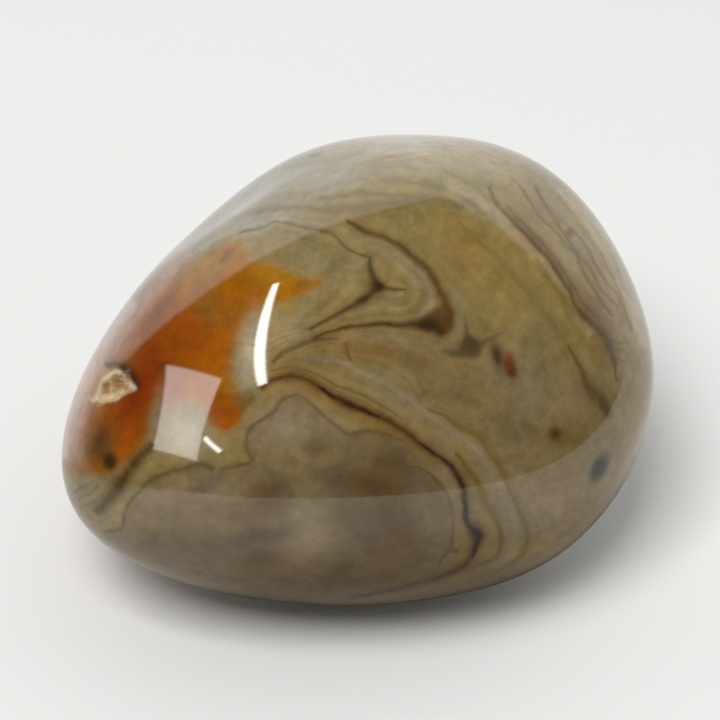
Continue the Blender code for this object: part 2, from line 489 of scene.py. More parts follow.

# The face's colours, laid on in this order: the stone's own tones, with painted shade along the bottom edge
# and a painted sheen along the left rim. Washes are soft ovals and spots firm ones, with a middle, half
# lengths and a turn in degrees. An area fills an outline, which is soft by so many pixels. A ribbon follows
# a route, with half widths spread along it.
GROUND_TONE = "sand"
CRUST = Area("tan", 1.0, PIT_CRUST, 2.0)
GROUND = (
    Wash("dune", 0.9, (400, 165), (180, 34), -3),
    Wash("chalk", 0.75, (420, 140), (130, 24), 2),
    Wash("clay", 0.5, (505, 160), (44, 20), 25),
    Wash("cloud", 0.9, (246, 196), (58, 15), -38),
    Wash("cloud", 0.85, (318, 181), (42, 13), -12),
    Wash("buff", 0.9, (320, 258), (78, 46)),
    Wash("cloud", 0.7, (252, 222), (60, 12), -18),
    Wash("straw", 0.8, (480, 250), (74, 48), 38),
    Wash("fawn", 0.95, (535, 425), (120, 85)),
    Wash("fawn", 0.8, (440, 385), (76, 30), 25),
    Wash("chestnut", 0.45, (362, 350), (60, 12), 5),
    Wash("ochre", 0.6, (300, 364), (36, 9)),
    Wash("clay", 0.8, (596, 215), (70, 26), 58),
    Wash("clay", 0.6, (628, 300), (48, 16), 70),
    Wash("straw", 0.7, (636, 400), (16, 52)),
    Wash("ochre", 0.4, (575, 508), (36, 14), -30),
    Ribbon("clay", 0.55, RIM_PALE, (9, 9, 7, 5, 4, 3)),
    Wash("cloud", 0.5, (476, 204), (26, 8), 28),
    Ribbon("olive", 0.22, TOP_LINE_LOWER, (4, 5, 6, 6, 5)),
    Ribbon("olive", 0.25, TOP_LINE_MIDDLE, (4, 5, 6, 5)),
    Ribbon("olive", 0.22, TOP_LINE_LEFT, (4, 6, 6, 5)),
    Ribbon("olive", 0.25, CREST_LINE, (4, 6, 6, 5)),
    Ribbon("gold", 0.75, RIM_GOLD, (3, 6, 7, 7, 8, 10, 11, 10, 8, 5)),
    Ribbon("olive", 0.5, RIM_PALE_EDGE, (2.0, 3.5, 3.5, 4.0, 3.0)),
    Ribbon("chalk", 0.35, RIM_OUTER, (5, 6, 6, 6, 6, 5)),
    Ribbon("umber", 0.45, STREAK_LOWER, (1, 2, 4, 8, 9, 8, 4)),
    Ribbon("lilac", 0.55, HOOK_INSIDE, (5, 8, 7, 4)),
    Ribbon("ash", 0.6, HOOK_HALO, (4, 6, 5)),
    Ribbon("lilac", 0.6, PALE_BAND, (1.5, 4.0, 5.5, 6.0, 7.0, 5.0)),
    Ribbon("olive", 0.35, BAND_EDGE_OUTER, (3, 4, 5, 5, 5, 5, 4, 3)),
    Ribbon("umber", 0.55, BASE_BAND, (3, 6, 7, 6, 5)),
    Ribbon("olive", 0.45, BAND_EDGE_INNER, (3, 5, 6, 5, 5)),
    Ribbon("ash", 0.4, FAN_PALE, (3, 5, 4)),
    Ribbon("umber", 0.3, FORK_SHADE, (3, 5, 3)),
    Ribbon("chestnut", 0.45, HOOK_UPPER, (3, 5, 6, 6, 7, 8, 9)),
    Ribbon("chestnut", 0.5, HOOK_LOWER, (7, 7, 5, 4, 3)),
    Ribbon("chestnut", 0.45, FORK_LEFT, (8, 8, 6, 4, 3)),
    Ribbon("umber", 0.4, FORK_UP, (5, 5, 6)),
    Ribbon("chestnut", 0.4, FAN_LINE, (2, 4, 5, 3)),
    Ribbon("ash", 0.3, BAND_EDGE_UPPER, (2, 3, 4, 5, 4)),
    Wash("ash", 0.5, (518, 480), (24, 14), -20),
    Wash("lilac", 0.45, (552, 515), (34, 30), -20),
    Wash("lilac", 0.35, (545, 402), (44, 30), -20),
    Wash("clay", 0.5, (284, 328), (18, 26), 20),
    Ribbon("ochre", 0.45, BETWEEN_RIMS, (4, 5, 6, 5, 5, 4)),
    Ribbon("ochre", 0.5, BELOW_WEDGE, (5, 7, 5)),
    Ribbon("umber", 0.4, LOBES_RIM_LEFT, (3, 4, 4, 5, 6)),
    Ribbon("umber", 0.35, LOBES_RIM_MIDDLE, (4, 4, 5, 4, 4, 3)),
    Ribbon("chestnut", 0.85, DARK_BAND, (4, 8, 9, 7, 7, 6, 6, 6, 7, 7, 5, 5, 4)),
    Area("taupe", 0.95, LOBES_RIM_LEFT + LOBES_RIM_MIDDLE + LOBES_RIM_RIGHT + LOBES_FLOOR, 1.5),
    Wash("lilac", 0.85, (284, 424), (40, 26)),
    Wash("lilac", 0.7, (190, 492), (56, 12), -5),
    Wash("ash", 0.5, (310, 520), (20, 34)),
    Wash("lilac", 0.5, (448, 480), (8, 40), -18),
    Wash("slate", 0.8, (396, 464), (38, 22), 20),
    Wash("umber", 0.9, (398, 524), (56, 40)),
    Wash("slate", 0.3, (365, 520), (22, 30)),
    Wash("umber", 0.35, (250, 556), (130, 22)),
    Wash("slate", 0.6, (316, 446), (14, 8)),
    Wash("umber", 0.85, (370, 486), (38, 15), 5),
    Wash("umber", 0.65, (268, 492), (30, 16)),
    Wash("umber", 0.45, (205, 486), (26, 7), -20),
    Wash("slate", 0.45, (330, 470), (26, 9), -12),
    Wash("umber", 0.35, (236, 516), (30, 8), 12),
    Wash("slate", 0.45, (338, 500), (10, 20)),
    Wash("slate", 0.95, (260, 537), (38, 10), -8),
    Wash("umber", 0.65, (256, 560), (24, 14)),
    Wash("umber", 0.5, (192, 545), (34, 13)),
    Wash("umber", 0.45, (268, 506), (22, 14)),
    Wash("buff", 0.7, (309, 534), (18, 26)),
    Wash("slate", 0.35, (337, 572), (16, 14)),
    # Painted shade: a dark stripe just above the bottom edge, where the underside turns away from the light
    Wash("slate", 0.5, (270, 594), (60, 8), 2),
    Wash("slate", 0.5, (156, 536), (5, 5), 20),
    Wash("umber", 0.4, (148, 546), (16, 14), 20),
    # Painted shade: the lower front darkened all along the bottom edge
    Wash("umber", 0.6, (360, 584), (170, 20)),
    Wash("ash", 0.35, (424, 512), (14, 30), -10),
    Ribbon("buff", 0.5, SHELF_GAP, (6, 7, 5)),
    Wash("buff", 0.6, (84, 490), (18, 14)),
    Area("amber", 1.0, AMBER_FIELD, 6.0),
    Ribbon("amber", 0.9, AMBER_TIP, (9, 8, 5, 2)),
    Wash("copper", 0.9, (190, 336), (58, 40), -45),
    Wash("ochre", 0.5, (205, 305), (16, 26), -50),
    Wash("honey", 0.8, (212, 264), (40, 12), -28),
    Wash("honey", 0.6, (272, 276), (26, 10), 5),
    Wash("ochre", 0.6, (306, 284), (14, 5)),
    Spot("rust", 0.5, (227, 255), (12, 4), -48),
    Wash("rust", 0.95, (138, 396), (26, 54), 28),
    Wash("rust", 0.6, (150, 350), (14, 24), 28),
    Wash("brick", 0.5, (158, 314), (26, 9), -52),
    Wash("brick", 0.5, (166, 368), (12, 6), 20),
    Wash("copper", 0.7, (128, 440), (9, 16), 20),
    Wash("chestnut", 0.5, (84, 468), (16, 8)),
    # Painted sheen along the left rim, in a rose tone and a paler one at the very edge
    Ribbon("rose_sheen", 0.8, LEFT_RIM_SHEEN, (10, 12, 14, 16, 13, 9, 8, 8)),
    Ribbon("petal_sheen", 0.8, LEFT_EDGE_SHEEN, (5, 9, 12, 12, 9, 5)),
    Wash("russet", 0.75, (102, 436), (14, 20), 22),
    Area("copper", 0.7, RED_CORNER, 3.0),
    Wash("brick", 0.3, (222, 412), (9, 12), -20),
    Area("olive", 0.7, DARK_WEDGE, 4.0),
    Wash("chalk", 0.85, (251, 350), (12, 30), 8),
    Wash("honey", 0.18, (248, 340), (12, 26), 8),
    Wash("honey", 0.35, (286, 307), (14, 12), -30),
    Wash("cloud", 0.55, (200, 248), (16, 6), -40),
    Wash("buff", 0.5, (240, 372), (8, 16), 10),
    Wash("chalk", 0.5, (186, 434), (20, 22), -10),
    Wash("ash", 0.8, (157, 412), (6, 24), 10),
    Wash("ash", 0.4, (88, 444), (8, 13), 20),
    Wash("slate", 0.45, (101, 448), (13, 16), -25),
    Wash("soot", 0.4, (99, 446), (9, 17), 12),
    Spot("soot", 0.85, (110, 461), (8, 10), -10),
    Area("slate", 0.95, SMEAR, 4.0),
    Wash("bark", 0.45, (472, 345), (12, 9), 10),
    Area("umber", 0.85, HOOK_CORNER, 4.0),
    Wash("bark", 0.85, (430, 323), (13, 8)),
    Wash("chestnut", 0.5, (447, 316), (5, 14)),
    Wash("soot", 0.6, (377, 287), (9, 6), 20),
    Wash("bark", 0.5, (363, 299), (9, 4), -35),
    Wash("olive", 0.4, (405, 363), (8, 5)),
    Wash("olive", 0.35, (336, 264), (16, 8), -25),
    Wash("olive", 0.3, (318, 246), (16, 7), 10),
    Wash("ash", 0.7, (506, 366), (19, 24), -30),
    Wash("bark", 0.9, (497, 357), (6, 14), -14),
    Spot("russet", 0.95, (510, 366), (8, 15), -22),
    Wash("bark", 0.6, (512, 373), (5, 6), -28),
    Wash("russet", 0.35, (586, 306), (12, 7), 45),
    Wash("bark", 0.35, (609, 342), (7, 18), -18),
    Wash("bark", 0.5, (603, 404), (5, 12), -35),
    Wash("olive", 0.7, (561, 437), (18, 10)),
    Spot("chestnut", 0.8, (555, 434), (8, 8.5)),
    Wash("bark", 0.8, (556, 434), (5, 6)),
    Wash("olive", 0.5, (572, 440), (14, 7), -10),
    Spot("soot", 1.0, (599, 468), (7.5, 17), 25),
    Spot("russet", 0.7, (570, 232), (4.5, 5)),
    Spot("umber", 0.6, (314, 156), (7, 2.5), -5),
    Spot("copper", 0.45, (386, 157), (9, 2.2)),
    Wash("honey", 0.5, (350, 151), (14, 5), -12),
    Wash("soot", 0.9, (477, 534), (9, 8), 30),
    Spot("bark", 0.5, (455, 550), (5, 3.5)),
    Ribbon("soot", 0.75, PIT_SHADE, (4, 6, 6, 4)),
    CRUST,
    Ribbon("cream", 0.9, PIT_BROW, (2.0, 3.0, 3.0, 2.5)),
    Ribbon("cream", 0.9, PIT_LIP, (2.5, 3.5, 3.5, 2.5)),
    Ribbon("cream", 0.7, PIT_CHEEK, (2.0, 2.5, 2.5)),
    Wash("chestnut", 0.45, (106, 388), (4, 5)),
    Wash("chestnut", 0.4, (118, 385), (5, 4)),
    Ribbon("cream", 0.5, PIT_FOLD, (1.2, 1.6, 1.2)),
)

# The fine bands run between these lines, which stand at these levels, a level being about a millimetre
BAND_LEVELS = (
    (LOBES_RIM_LEFT, 0.0), (LOBES_RIM_MIDDLE, 0.0), (LOBES_RIM_RIGHT, 0.0), (DARK_BAND, 2.0),
    (BAND_EDGE_UPPER, 3.0), (BAND_EDGE_INNER, 3.0), (PALE_BAND, 4.2), (BAND_EDGE_OUTER, 5.4),
    (FAN_LINE, 6.5), (FAN_PALE, 7.5), (HOOK_LOWER, 9.0), (HOOK_UPPER, 9.0), (HAIR_LINE, 10.5),
    (FORK_UP, 12.5), (FORK_RIGHT, 12.5), (FORK_LEFT, 12.0), (TOP_LINE_LOWER, 7.6),
    (TOP_LINE_MIDDLE, 6.6), (TOP_LINE_UPPER, 4.0), (CREST_LINE, 7.0), (STREAK_RIGHT, 6.0),
    (RIM_PALE, 4.6), (RIM_LINE_FIRST, 4.0), (RIM_LINE_SECOND, 2.6), (RIM_LINE_FOURTH, 1.8),
    (RIM_LINE_FIFTH, 1.4), (RIM_LINE_SIXTH, 0.6), (SHELF_BAND, 2.2), (BASE_BAND, 6.4),
)

# How that sheet of levels is bent: it is held at every tenth point of a route, and a little loosely, and it
# is worked out for so many pixels at a time
LEVEL_HOLD = 10
LEVEL_SLACK = 2e-5
LEVEL_BATCH = 8000
NO_GAP = 1e-9

# How plainly the fine bands show: everywhere, and more or less in these washes
BANDING = 0.28
BANDING_WASHES = (
    (1.00, (590, 265), (95, 44), 55),
    (0.65, (470, 470), (60, 80), -35),
    (0.85, (350, 385), (100, 28), 22),
    (0.75, (400, 300), (56, 34), 0),
    (0.55, (420, 200), (130, 34), 12),
    (0.15, (290, 500), (130, 70), 0),
    (0.15, (190, 350), (70, 80), -40),
    (0.35, (520, 330), (60, 60), 40),
)

# Each line as it is drawn: its route, its half widths spread evenly along it, and how strongly it shows
VEINS = {
    "olive": (
        (BAND_EDGE_UPPER, (1.2, 2.2, 2.2, 2.4, 1.8), 0.6),
        (BAND_EDGE_OUTER, (1.6, 2.6, 3.4, 3.4, 3.0, 2.8, 2.8, 2.6, 2.4, 1.8), 0.65),
        (BAND_EDGE_INNER, (1.8, 3.2, 4.0, 2.8, 2.6, 2.4, 1.6), 0.85),
        (STREAK_RIGHT, (2.0, 3.4, 3.6, 3.0, 3.0, 3.0, 1.4, 0.6), 0.3),
        (TOP_LINE_LOWER, (1.8, 2.8, 3.0, 3.4, 3.4, 2.8), 0.4),
        (TOP_LINE_MIDDLE, (1.8, 2.8, 3.0, 2.6), 0.35),
        (TOP_LINE_UPPER, (1.8, 2.8, 2.4), 0.45),
        (TOP_LINE_LEFT, (2.6, 3.4, 3.0, 2.4), 0.45),
        (CREST_LINE, (1.8, 3.0, 3.4, 2.8), 0.35),
        (CREST_FINE, (1.6, 2.4, 2.4), 0.3),
    ),
    "umber": (
        (LOBES_RIM_LEFT, (1.6, 1.8, 2.0, 2.4, 3.0, 3.4), 0.5),
        (LOBES_RIM_MIDDLE, (1.8, 2.0, 2.4, 2.2, 2.4, 2.0, 2.0, 2.2, 1.8, 1.5), 0.45),
        (LOBES_RIM_RIGHT, (1.2, 2.0, 2.4, 2.2, 1.6), 0.5),
        (HOOK_UPPER, (1.6, 2.6, 2.6, 3.0, 3.4, 3.6, 4.6, 4.0), 0.7),
        (HAIR_LINE, (1.2, 1.5, 1.8, 2.0, 1.5), 0.5),
        (FAN_MARK, (2.8, 2.2, 1.4), 0.55),
        (FAN_LINE, (1.6, 2.6, 2.6, 1.6, 1.2), 0.55),
        (SHELF_BAND, (5.0, 6.5, 8.0, 8.0, 6.0), 0.95),
        (SHELF_FINE, (1.6, 2.2, 1.6), 0.4),
        (SHELF_FINER, (1.6, 2.0, 1.6), 0.35),
        (SHELF_FINEST, (1.6, 2.2, 1.6), 0.35),
        (STREAK_LOWER, (0.4, 0.8, 2.0, 3.4, 4.4, 4.0, 2.0), 0.4),
        (RIM_LINE_FIRST, (1.8, 2.4, 2.4, 2.6, 2.4, 2.4, 2.8, 3.0, 2.4, 1.6), 0.75),
        (RIM_LINE_SHORT, (1.6, 2.4, 2.0, 1.8, 1.6), 0.5),
        (RIM_LINE_SECOND, (1.4, 1.8, 1.8, 2.2, 2.0, 1.6), 0.5),
        (RIM_LINE_THIRD, (1.4, 1.8, 1.8, 1.9, 1.5), 0.5),
        (RIM_LINE_FOURTH, (1.2, 1.6, 1.4), 0.45),
        (RIM_LINE_FIFTH, (1.2, 1.7, 1.8, 1.6, 1.2), 0.45),
        (RIM_LINE_SIXTH, (1.0, 1.3, 1.3, 1.0), 0.3),
        *((tick, (2.4, 2.2, 1.4), 0.30) for tick in RIM_TICKS),
    ),
    "bark": (
        (DARK_BAND, (1.6, 2.4, 2.6, 2.6, 3.0, 3.0, 2.8, 2.8, 3.0, 3.0, 2.6, 2.6, 2.4, 2.2, 2.0), 0.6),
        (FORK_UP, (2.4, 2.8, 3.4), 0.55),
        (FORK_LEFT, (4.6, 3.8, 2.6, 2.2, 1.4), 0.65),
        (HOOK_LOWER, (4.0, 3.6, 3.0, 2.4, 2.0, 1.4), 0.6),
    ),
    "soot": (
        (DARK_BAND_TOP, (0.8, 3.0, 4.0, 3.4, 1.2), 0.65),
        (DARK_BAND_TURN, (1.2, 2.4, 3.2, 3.2, 2.6, 2.4, 2.6, 3.0, 1.4), 0.7),
        (FORK_RIGHT, (4.2, 2.2, 1.3), 0.5),
    ),
}

# A vein is written onto the points within so many half widths of it and a margin, and it fades out past its
# ends. Elsewhere a point has a long way to it, a half width and no strength.
VEIN_REACH = 2.6
VEIN_MARGIN = 4.0
VEIN_END = 2.5
NO_VEIN = (10.0, 1.0, 0.0)
ROUTE_STEP = 2.0

# How the markings wander on the far sides, turned, drawn in and drifting, and how their edges fray
HIDDEN_FADE = 0.85
HIDDEN_TURN = radians(48)
HIDDEN_SHRINK = 0.22
HIDDEN_DRIFT = 85.0
HIDDEN_GRAIN = 70.0
FRAYS = ((1.3, 650.0), (0.6, 1900.0))


def linear(tone):
    """A tone's light as the shader counts it."""
    shown = np.array(TONES[tone]) / 255.0
    return np.where(shown <= 0.04045, shown / 12.92, ((shown + 0.055) / 1.055) ** 2.4)


def smooth_route(points, closed=False):
    """Points every ROUTE_STEP pixels or so along a smooth curve through the given ones."""
    given = np.array(points, float)
    if closed:
        given = np.vstack((given[-1:], given, given[:2]))
    else:
        given = np.vstack((2 * given[0] - given[1], given, 2 * given[-1] - given[-2]))
    route = []
    for before, start, end, after in zip(given, given[1:], given[2:], given[3:]):
        bend = 2 * before - 5 * start + 4 * end - after
        twist = 3 * start - before - 3 * end + after
        steps = max(1, round(np.linalg.norm(end - start) / ROUTE_STEP))
        for share in np.arange(steps) / steps:
            route.append(start + 0.5 * share * ((end - before) + share * (bend + share * twist)))
    route.append(given[-2])
    return np.array(route)


def beside_route(pixels, route):
    """How far each pixel lies beside a route (plus on its left), along it, and past its ends."""
    lengths = np.linalg.norm(np.diff(route, axis=0), axis=1)
    starts = np.concatenate(([0.0], np.cumsum(lengths)))
    nearest = np.full(len(pixels), np.inf)
    aside = np.full(len(pixels), np.inf)
    along = np.zeros(len(pixels))
    past = np.zeros(len(pixels))
    last = len(lengths) - 1
    for number, length in enumerate(lengths):
        towards = (route[number + 1] - route[number]) / length
        offset = pixels - route[number]
        reach = offset @ towards
        held = np.clip(reach, 0.0, length)
        away = np.hypot(*(offset - held[:, None] * towards).T)
        closer = away < nearest
        nearest[closer] = away[closer]
        side = np.sign(towards[0] * offset[closer, 1] - towards[1] * offset[closer, 0])
        aside[closer] = away[closer] * side
        along[closer] = (starts[number] + held[closer]) / starts[-1]
        beyond = np.zeros(len(pixels))
        if number == 0:
            beyond = np.maximum(beyond, -reach)
        if number == last:
            beyond = np.maximum(beyond, reach - length)
        past[closer] = beyond[closer]
    return aside, along, past


def inside_outline(pixels, outline):
    """How far each pixel lies inside a closed outline; minus outside it."""
    depth = np.abs(beside_route(pixels, outline)[0])
    inside = np.zeros(len(pixels), bool)
    for start, end in zip(outline[:-1], outline[1:]):
        if start[1] == end[1]:
            continue
        crosses = (start[1] > pixels[:, 1]) != (end[1] > pixels[:, 1])
        share = (pixels[:, 1] - start[1]) / (end[1] - start[1])
        inside ^= crosses & (pixels[:, 0] < start[0] + share * (end[0] - start[0]))
    return np.where(inside, depth, -depth)


def oval(pixels, middle, reach, turn):
    """0 in an oval's middle, 1 on its edge, squared."""
    across = np.array((cos(radians(turn)), sin(radians(turn))))
    offset = pixels - np.array(middle)
    return (offset @ across / reach[0]) ** 2 + (offset @ (-across[1], across[0]) / reach[1]) ** 2


def width_along(widths, along):
    return np.interp(along, np.linspace(0.0, 1.0, len(widths)), widths)


def near(pixels, points, margin):
    low = points.min(axis=0) - margin
    high = points.max(axis=0) + margin
    return np.nonzero(np.all((pixels > low) & (pixels < high), axis=1))[0]


def mark_share(pixels, mark):
    """How much of a mark's tone lies at each pixel, from 0 to 1."""
    if isinstance(mark, (Wash, Spot)):
        away = oval(pixels, mark.middle, mark.reach, mark.turn)
        return np.exp(-away if isinstance(mark, Wash) else -(away**2))
    if isinstance(mark, Area):
        outline = smooth_route(mark.outline, closed=True)
        share = np.zeros(len(pixels))
        close = near(pixels, outline, mark.softness)
        depth = inside_outline(pixels[close], outline)
        share[close] = soft_step((depth + mark.softness) / (2 * mark.softness))
        return share
    route = smooth_route(mark.route)
    share = np.zeros(len(pixels))
    close = near(pixels, route, 3 * max(mark.widths))
    aside, along, past = beside_route(pixels[close], route)
    width = width_along(mark.widths, along)
    share[close] = np.exp(-((aside / width) ** 2)) * np.exp(-((past / width) ** 2))
    return share


def ground_colours(pixels):
    colours = np.tile(linear(GROUND_TONE), (len(pixels), 1))
    for mark in GROUND:
        share = (mark.strength * mark_share(pixels, mark))[:, None]
        colours += share * (linear(mark.tone) - colours)
    return colours


def banding_share(pixels):
    share = np.full(len(pixels), BANDING)
    for plain, middle, reach, turn in BANDING_WASHES:
        share += np.exp(-oval(pixels, middle, reach, turn)) * (plain - share)
    return share


def band_levels(pixels):
    """The level of the fine bands at each pixel, on a thin sheet bent through the lines that bound them."""
    held, levels = [], []
    for points, level in BAND_LEVELS:
        route = smooth_route(points)[::LEVEL_HOLD]
        held.extend(route)
        levels.extend([level] * len(route))
    held = np.array(held) / FRAME_WIDTH
    count = len(held)

    def bending(places):
        away = np.linalg.norm(places[:, None, :] - held[None, :, :], axis=2) + NO_GAP
        return away * away * np.log(away)

    plane = np.hstack((np.ones((count, 1)), held))
    system = np.zeros((count + 3, count + 3))
    system[:count, :count] = bending(held) + LEVEL_SLACK * np.eye(count)
    system[:count, count:] = plane
    system[count:, :count] = plane.T
    weights = np.linalg.solve(system, np.concatenate((levels, (0.0, 0.0, 0.0))))
    level = np.zeros(len(pixels))
    for start in range(0, len(pixels), LEVEL_BATCH):
        places = pixels[start : start + LEVEL_BATCH] / FRAME_WIDTH
        level[start : start + LEVEL_BATCH] = (
            bending(places) @ weights[:count] + weights[count] + places @ weights[count + 1 :]
        )
    return level


def vein_layers(pixels):
    """The veins of each tone, parted into layers in which no two come near each other.

    A layer gives each point its distance beside the vein, the vein's half width there, and its strength.
    """
    layers = []
    for tone, veins in VEINS.items():
        of_tone = []
        for points, widths, plain in veins:
            route = smooth_route(points)
            reach = VEIN_REACH * max(widths) + VEIN_MARGIN
            close = near(pixels, route, reach)
            aside, along, past = beside_route(pixels[close], route)
            width = width_along(widths, along)
            fade = np.clip((VEIN_REACH * width + VEIN_MARGIN - np.abs(aside)) / VEIN_MARGIN, 0.0, 1.0)
            strength = plain * fade * np.clip(1.0 - past / VEIN_END, 0.0, 1.0)
            shown = strength > 0.0
            close = close[shown]
            for rows, taken in of_tone:
                if not taken[close].any():
                    break
            else:
                rows = np.tile(NO_VEIN, (len(pixels), 1))
                taken = np.zeros(len(pixels), bool)
                of_tone.append((rows, taken))
            rows[close] = np.stack((aside, width, strength), axis=1)[shown]
            taken[close] = True
        layers.extend((tone, rows) for rows, _ in of_tone)
    return layers


def marked_at(places, outward):
    """The pixel whose marking each point bears: its own, or on the far sides one the bands wander to."""
    facing = np.sum(outward * unit_rows(CAMERA_PLACE - places), axis=1)
    hidden = soft_step(-facing / HIDDEN_FADE)
    middle = seen_at(EGG_MIDDLE[None, :])
    offset = (seen_at(places) - middle) @ (1.0, 1.0j)
    offset *= (1.0 - HIDDEN_SHRINK * hidden) * np.exp(1.0j * HIDDEN_TURN * hidden)
    drift = HIDDEN_DRIFT * hidden[:, None] * noise_rows(places, HIDDEN_GRAIN)[:, :2]
    pixels = middle + np.stack((offset.real, offset.imag), axis=1) + drift
    for reach, grain in FRAYS:
        pixels += reach * noise_rows(places, grain)[:, :2]
    return pixels


def write_attribute(mesh, name, kind, rows):
    attribute = mesh.attributes.new(name, kind, "POINT")
    field = {"FLOAT": "value", "FLOAT_VECTOR": "vector", "FLOAT_COLOR": "color"}[kind]
    attribute.data.foreach_set(field, np.ascontiguousarray(rows, np.float32).ravel())


def mark_stone(mesh, places):
    """Writes the markings onto the stone's points, and returns the vein layers' names and tones."""
    pixels = marked_at(places, rows_of(mesh.vertex_normals, "vector"))
    colours = np.hstack((ground_colours(pixels), np.ones((len(pixels), 1))))
    write_attribute(mesh, "ground", "FLOAT_COLOR", colours)
    write_attribute(mesh, "band_level", "FLOAT", band_levels(pixels))
    write_attribute(mesh, "banding", "FLOAT", banding_share(pixels))
    write_attribute(mesh, "crust", "FLOAT", mark_share(pixels, CRUST))
    names = []
    for number, (tone, rows) in enumerate(vein_layers(pixels)):
        name = f"vein_{number}"
        write_attribute(mesh, name, "FLOAT_VECTOR", rows)
        names.append((name, tone))
    return names


# Light and table

# Where the camera sees the lights mirrored in the polish: each light's corners in turn, and the middles of
# the sides that are bowed, by the number of the corner before them
PANEL_GLINT = ((166, 365), (222, 379), (197, 461), (153, 449))
PANEL_BOWS = {0: (195, 371), 1: (208, 415), 2: (176, 455), 3: (162, 405)}
STRIP_GLINT = ((273, 284), (279, 283), (267, 383), (258, 386))
STRIP_BOWS = {1: (266, 340), 3: (255, 345)}
DASH_GLINT = ((203, 439), (206, 436), (222, 450), (219, 453))
PANEL_LIGHT = 6.5
STRIP_LIGHT = 24.0
DASH_LIGHT = 24.0
GLINT_EDGE = 0.006
NEAREST_POINTS = 4
NEAR_PIXELS = 0.1

# The bright backdrops that the polish mirrors, each with the middle and the reach of its directions and the
# softness of its edge, their light low down and high up, and the light of the room between them
BACKDROPS = (
    (Vector((-0.252, 0.943, 0.216)), 0.763, 0.02),
    (Vector((0.290, 0.935, -0.203)), 0.510, 0.12),
)
BACKDROP_LIGHT = 1.15
BACKDROP_TOP_LIGHT = 1.8
BACKDROP_RISE = (0.05, 0.45)
ROOM_LIGHT = 0.09

# The soft light of the studio: in front, added behind and added at the right, and the one broad lamp
DOME_COLOUR = (1.0, 1.0, 0.99, 1.0)
DOME_LIGHT = 0.13
DOME_BACK_LIGHT = 0.47
DOME_BACK = (-0.40, 0.50)
DOME_SIDE_LIGHT = 0.42
DOME_SIDE = (0.05, 0.80)
LAMP_PLACE = Vector((-0.22, -0.50, 1.00))
LAMP_WIDTH = 0.5
LAMP_POWER = 10.3

# The table, and how the polish mirrors it: dark past its front edge, fading away at the left, shaded close
# to the stone, and glowing at the back
TABLE_COLOUR = (0.80, 0.80, 0.79, 1.0)
FAR_TABLE_COLOUR = (0.12, 0.12, 0.12, 1.0)
GLOW_COLOUR = (1.0, 1.0, 1.0, 1.0)
TABLE_SIZE = 6.0
TABLE_EDGE_TOWARDS = Vector((0.72, -0.69, 0.0))
TABLE_EDGE = (0.084, 0.089)
TABLE_SIDE = (-0.05, 0.35)
TABLE_LEFT = (0.75, 0.92)
TABLE_LEFT_FADE = (0.06, 0.35)
SHADE_MIDDLE = (0.008, -0.013, 0.0)
SHADE_REACH = (0.018, 0.041)
SHADE_DEPTH = 0.8
BACK_TABLE_RISE = (0.12, 0.60)
BACK_TABLE_GLOW = 0.35


def give(node, inputs):
    """Gives a node's inputs, by place or name, their values or the sockets they are linked from."""
    for place, value in inputs.items():
        if isinstance(value, bpy.types.NodeSocket):
            node.id_data.links.new(value, node.inputs[place])
        else:
            node.inputs[place].default_value = value


def linked(kind, inputs, output=0, tree=None, **settings):
    """An output of a new node, in the tree given or else in that of the sockets it is linked from."""
    if tree is None:
        tree = next(value.id_data for value in inputs.values() if isinstance(value, bpy.types.NodeSocket))
    node = tree.nodes.new("ShaderNode" + kind)
    for name, value in settings.items():
        setattr(node, name, value)
    give(node, inputs)
    return node.outputs[output]


def maths(operation, first, second=0.0, third=0.0):
    return linked("Math", {0: first, 1: second, 2: third}, operation=operation)


def times(first, second):
    return maths("MULTIPLY", first, second)


def times_plus(first, second, third):
    return maths("MULTIPLY_ADD", first, second, third)


def dot(vector, fixed):
    return linked("VectorMath", {0: vector, 1: fixed}, "Value", operation="DOT_PRODUCT")


def soft_between(value, low, high):
    """0 below low, 1 above high, and a soft step between them."""
    ends = {"Value": value, "From Min": low, "From Max": high}
    return linked("MapRange", ends, interpolation_type="SMOOTHSTEP")


def new_material(name):
    """A new material, with its node tree and its shader."""
    material = bpy.data.materials.new(name)
    material.use_nodes = True
    return material, material.node_tree, material.node_tree.nodes["Principled BSDF"]


def mirrored_ray(pixel, pixels, places, outward):
    """The direction that the camera sees mirrored at a pixel, as a mean over the nearest points."""
    away = np.linalg.norm(pixels - np.array(pixel), axis=1)
    nearest = np.argsort(away)[:NEAREST_POINTS]
    weights = 1.0 / (away[nearest] + NEAR_PIXELS)
    normal = weights @ outward[nearest]
    normal /= np.linalg.norm(normal)
    ray = weights @ places[nearest] / weights.sum() - CAMERA_PLACE
    ray /= np.linalg.norm(ray)
    return Vector(ray - 2.0 * (ray @ normal) * normal)


def inside_glint(ray, corners, bows, polish):
    """1 for rays that the polish mirrors inside a glint's outline, and 0 outside it."""
    ends = [mirrored_ray(corner, *polish) for corner in corners]
    middle = sum(ends, Vector()) / len(ends)
    mask = 1.0
    for number, end in enumerate(ends):
        next_end = ends[(number + 1) % len(ends)]
        third = mirrored_ray(bows[number], *polish) if number in bows else Vector()
        across = (next_end - end).cross(third - end).normalized()
        if across.dot(middle) < across.dot(end):
            across.negate()
        level = across.dot(end)
        share = soft_between(dot(ray, across), level - GLINT_EDGE, level + GLINT_EDGE)
        mask = times(share, mask)
    return mask


